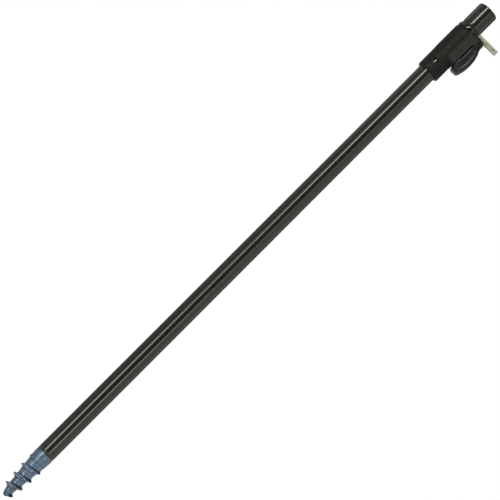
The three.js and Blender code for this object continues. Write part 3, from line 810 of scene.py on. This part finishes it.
dress(pivot_pin(), MAT_PIN, "stick", "lever_pivot_pin")
wiper = turned("wiper_seal", [(8.0, 579.75), (8.25, 579.45), (8.6, 579.2), (9.6, 579.17), (9.7, 579.27), (9.7, 581.05), (9.6, 581.15),
                              (8.6, 581.12), (8.25, 580.9), (8.0, 580.6), (8.12, 580.35), (8.12, 580.0)], 128)
dress(wiper, MAT_RUBBER, "stick", "wiper_ring")
guide = turned("guide_plug", [(0.0, 121.0), (4.2, 121.0), (4.2, 82.0), (4.6, 80.2), (5.2, 80.0), (7.6, 80.0), (8.2, 80.3), (8.42, 80.9),
                              (8.42, 86.0), (8.1, 86.4), (8.1, 88.6), (8.42, 89.0), (8.42, 97.0), (8.1, 97.4), (8.1, 99.6), (8.42, 100.0),
                              (8.42, 105.6), (8.2, 105.85), (6.92, 105.85), (6.92, 125.2), (6.2, 126.0), (0.0, 126.0)], 96, closed=False)
dress(guide, MAT_GUIDE, "inner_section", "inner_tube_guide")


def friction_ring():
    big, small, n, m = 3.63, 0.6, 96, 24
    verts, faces = [], []
    for i in range(n):
        a = 2 * math.pi * i / n
        for j in range(m):
            b = 2 * math.pi * j / m
            r = big + small * math.cos(b)
            verts.append((small * math.sin(b) * MM, r * math.cos(a) * MM, (BAR_Z + r * math.sin(a)) * MM))
    for i in range(n):
        for j in range(m):
            faces.append((i * m + j, i * m + (j + 1) % m, ((i + 1) % n) * m + (j + 1) % m, ((i + 1) % n) * m + j))
    return mesh_object("bar_ring", verts, faces)


dress(friction_ring(), MAT_RUBBER, "inner_section", "bar_friction_ring")

pad = cad_copy("pressure_pad", "pad_block")
bev = pad.modifiers.new("bevel", "BEVEL")
bev.width = 0.35 * MM
bev.segments = 3
bev.limit_method = "ANGLE"
bev.angle_limit = math.radians(40)
apply_modifiers(pad)
finish_shading(pad.data)
dress(pad, MAT_PAD, "pad", "pressure_pad")

# ------------------------------------------------------------------- stage
floor_mesh = bpy.data.meshes.new("floor")
floor_mesh.from_pydata([(-5, -5, 0), (5, -5, 0), (5, 5, 0), (-5, 5, 0)], [], [(0, 1, 2, 3)])
floor = new_object("floor", floor_mesh)
floor.location = (0, 0, CAD_BOX[0].z - 0.0001)
fm = Nodes("floor")
fm.set(Base_Color=(0.92, 0.92, 0.92, 1.0), Roughness=0.9)
fm.set(Emission_Color=(1.0, 1.0, 1.0, 1.0))
fm.set(Emission_Strength=0.50)
gloss = fm.node("ShaderNodeBsdfPrincipled")
gloss.inputs["Base Color"].default_value = (0.88, 0.88, 0.88, 1.0)
gloss.inputs["Roughness"].default_value = 0.10
gloss.inputs["Emission Color"].default_value = (1.0, 1.0, 1.0, 1.0)
gloss.inputs["Emission Strength"].default_value = 0.22
seen = fm.node("ShaderNodeLightPath")
both = fm.node("ShaderNodeMixShader")
fm.link(seen.outputs["Is Camera Ray"], both.inputs[0])
fm.link(gloss.outputs[0], both.inputs[1])
fm.link(fm.bsdf.outputs[0], both.inputs[2])
fm.link(both.outputs[0], fm.out.inputs["Surface"])
floor.data.materials.append(fm.mat)


# ------------------------------------------------------------------- light
def world():
    w = bpy.data.worlds.new("studio")
    bpy.context.scene.world = w
    w.use_nodes = True
    t = w.node_tree
    t.nodes.clear()
    link = t.links.new

    def node(kind, **props):
        n = t.nodes.new(kind)
        for k, v in props.items():
            setattr(n, k, v)
        return n

    def m(op, a, b=None, c=None, clamp=False):
        n = node("ShaderNodeMath", operation=op, use_clamp=clamp)
        for i, v in enumerate((a, b, c)):
            if v is None:
                continue
            if isinstance(v, (int, float)):
                n.inputs[i].default_value = v
            else:
                link(v, n.inputs[i])
        return n.outputs[0]

    def step(value, lo, hi):
        n = node("ShaderNodeMapRange", interpolation_type="SMOOTHSTEP")
        link(value, n.inputs["Value"])
        n.inputs["From Min"].default_value = lo
        n.inputs["From Max"].default_value = hi
        return n.outputs["Result"]

    coord = node("ShaderNodeTexCoord")
    sep = node("ShaderNodeSeparateXYZ")
    link(coord.outputs["Generated"], sep.inputs[0])
    x, y, z = sep.outputs
    # azimuth: 0 towards the front (-Y), positive towards +X, in degrees
    az = m("MULTIPLY", m("ARCTAN2", x, m("MULTIPLY", y, -1.0)), 180 / math.pi)
    el = m("MULTIPLY", m("ARCSINE", z), 180 / math.pi)

    def strip(centre, half, soft):
        d = m("ABSOLUTE", m("SUBTRACT", az, centre))
        return m("SUBTRACT", 1.0, step(d, half - soft, half + soft))

    # the white tent: dim on the left, brighter on the right, dark behind the
    # camera, with one strong and one weak strip of light
    left = m("MULTIPLY", m("SUBTRACT", 1.0, step(az, -58.0, -40.0)), m("ADD", 0.16, m("MULTIPLY", step(az, -138.0, -118.0), 0.28)))
    wing = m("MULTIPLY", strip(-116.0, 24.0, 12.0), m("MULTIPLY", step(el, 8.0, 15.0), 0.47))
    left = m("ADD", left, wing)
    right_ = m("MULTIPLY", step(az, 13.0, 34.0), m("ADD", 0.16, m("MULTIPLY", m("SUBTRACT", 1.0, step(az, 112.0, 140.0)), 0.80)))
    right_ = m("MULTIPLY", right_, m("SUBTRACT", 1.0, m("MULTIPLY", step(el, 14.0, 18.0), 0.45)))
    centre = m("ADD", -36.5, m("MULTIPLY", el, 0.5))
    key_d = m("ABSOLUTE", m("SUBTRACT", az, centre))
    key_level = m("ADD", m("SUBTRACT", 12.0, m("MULTIPLY", step(el, 1.0, 8.0), 9.0)), m("MULTIPLY", step(el, 8.0, 13.0), 10.4))
    key = m("MULTIPLY", m("SUBTRACT", 1.0, step(key_d, 3.6, 9.4)), key_level)
    fill = m("MULTIPLY", strip(28.0, 4.5, 2.5), m("ADD", m("ADD", 0.1, m("MULTIPLY", step(el, 10.5, 16.5), 1.8)),
                                                  m("MULTIPLY", m("SUBTRACT", 1.0, step(el, 2.0, 7.5)), 8.0)))
    back_d = m("SUBTRACT", 180.0, m("ABSOLUTE", az))
    back = m("MULTIPLY", m("SUBTRACT", 1.0, step(back_d, 4.0, 9.0)), 4.0)
    low = m("ADD", m("ADD", left, right_), m("ADD", m("ADD", key, fill), back))
    low = m("MULTIPLY", low, m("SUBTRACT", 1.0, step(el, 30.0, 50.0)))
    top = m("MULTIPLY", step(el, 32.0, 56.0), 0.85)
    total = m("ADD", low, top)
    warm = node("ShaderNodeMix", data_type="RGBA")
    link(step(az, -20.0, 25.0), warm.inputs[0])
    warm.inputs[6].default_value = (0.975, 0.98, 0.90, 1.0)
    warm.inputs[7].default_value = (1.0, 0.962, 0.885, 1.0)
    bg = node("ShaderNodeBackground")
    link(warm.outputs[2], bg.inputs["Color"])
    link(total, bg.inputs["Strength"])
    white = node("ShaderNodeBackground")
    white.inputs["Color"].default_value = (1.0, 1.0, 1.0, 1.0)
    path = node("ShaderNodeLightPath")
    mix = node("ShaderNodeMixShader")
    link(path.outputs["Is Camera Ray"], mix.inputs[0])
    link(bg.outputs[0], mix.inputs[1])
    link(white.outputs[0], mix.inputs[2])
    out = node("ShaderNodeOutputWorld")
    link(mix.outputs[0], out.inputs["Surface"])


world()
bpy.context.scene.view_settings.view_transform = "Standard"
bpy.context.scene.view_settings.look = "None"
